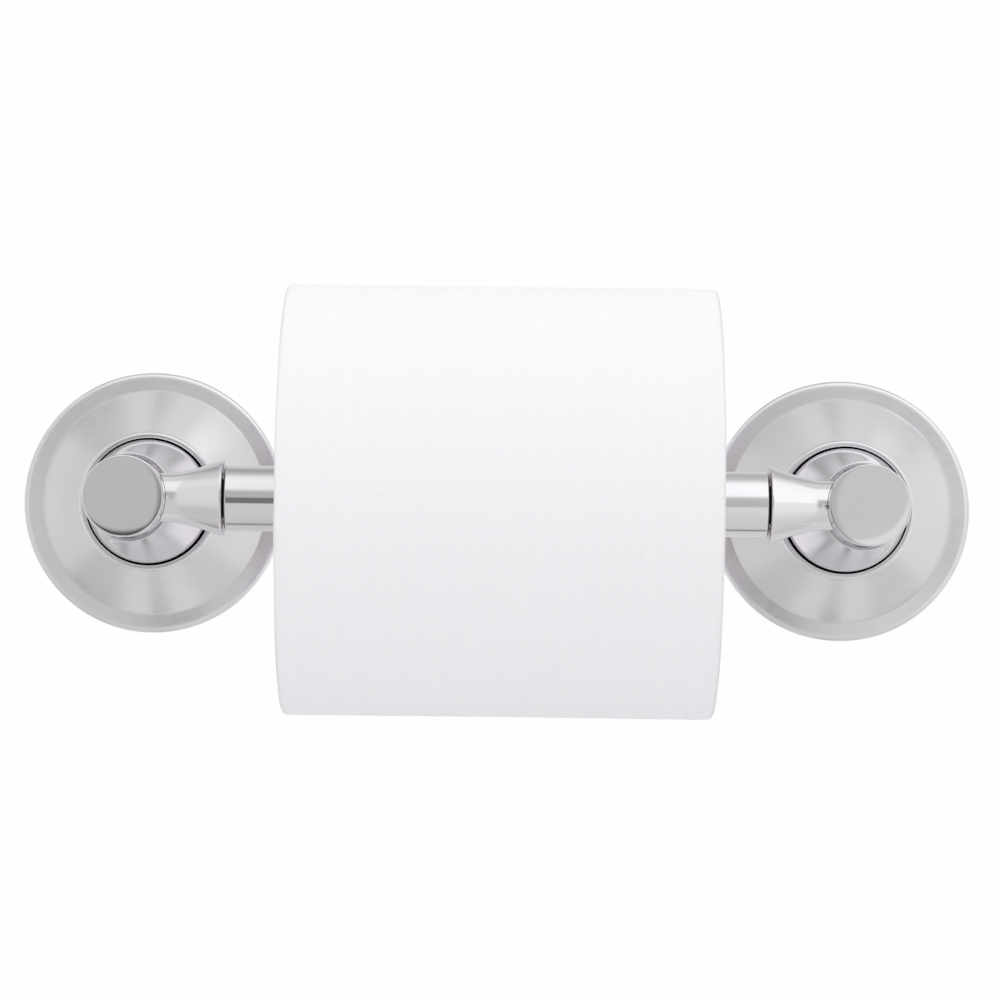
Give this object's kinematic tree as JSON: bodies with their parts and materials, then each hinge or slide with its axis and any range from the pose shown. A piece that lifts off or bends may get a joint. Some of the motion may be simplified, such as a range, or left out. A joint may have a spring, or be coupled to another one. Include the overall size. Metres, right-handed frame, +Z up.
{
  "type": "toilet paper holder",
  "caption": "Wall-mounted double-post toilet paper holder with domed round flanges, a spring-loaded roller and a loaded paper roll.",
  "frame": {"origin": "on the wall plane, midway between the two posts and level with the roller's axis", "axes": "+Y points into the wall, so the holder stands out along -Y; +X runs from the left post to the right post along the roller, as seen from the front; +Z is up"},
  "size_m": [0.244, 0.1515, 0.103],
  "materials": {
    "chrome": "polished chrome plate",
    "zinc_steel": "zinc plated",
    "spring_steel": "drawn wire",
    "white_plastic": "moulded, fine texture",
    "dark_plastic": "moulded, fine texture",
    "anchor_plastic": "moulded nylon",
    "cardboard": "uncoated, spiral wound",
    "paper": "soft, embossed"
  },
  "bodies": {
    "wall_frame": {"flange_left": "chrome", "post_left": "chrome", "roller_cup_left": "chrome", "wall_plate_left": "zinc_steel", "set_screw_left": "zinc_steel", "post_bolt_left": "zinc_steel", "post_washer_left": "zinc_steel", "cup_screw_left": "zinc_steel", "wall_screw_left_upper": "zinc_steel", "wall_anchor_left_upper": "anchor_plastic", "wall_screw_left_lower": "zinc_steel", "wall_anchor_left_lower": "anchor_plastic", "flange_right": "chrome", "post_right": "chrome", "roller_cup_right": "chrome", "wall_plate_right": "zinc_steel", "set_screw_right": "zinc_steel", "post_bolt_right": "zinc_steel", "post_washer_right": "zinc_steel", "cup_screw_right": "zinc_steel", "wall_screw_right_upper": "zinc_steel", "wall_anchor_right_upper": "anchor_plastic", "wall_screw_right_lower": "zinc_steel", "wall_anchor_right_lower": "anchor_plastic"},
    "roller": {"barrel_sleeve": "white_plastic", "end_tube_left": "chrome", "end_tip_left": "dark_plastic", "roller_spring": "spring_steel"},
    "plunger": {"barrel_plunger": "white_plastic", "end_tube_right": "chrome", "end_tip_right": "dark_plastic"},
    "roll": {"cardboard_core": "cardboard", "paper_roll": "paper"}
  },
  "joints": [
    {"name": "roller_spin", "type": "hinge", "parent": "wall_frame", "child": "roller", "pos_m": [0, -0.07, 0], "axis": [1, 0, 0], "continuous": true},
    {"name": "plunger_slide", "type": "slide", "parent": "roller", "child": "plunger", "axis": [-1, 0, 0], "range_m": [0, 0.009], "stiffness_N_per_m": 300, "deforming": ["roller_spring"]},
    {"name": "roll_spin", "type": "hinge", "parent": "roller", "child": "roll", "pos_m": [0, -0.07, 0], "axis": [1, 0, 0], "continuous": true}
  ]
}
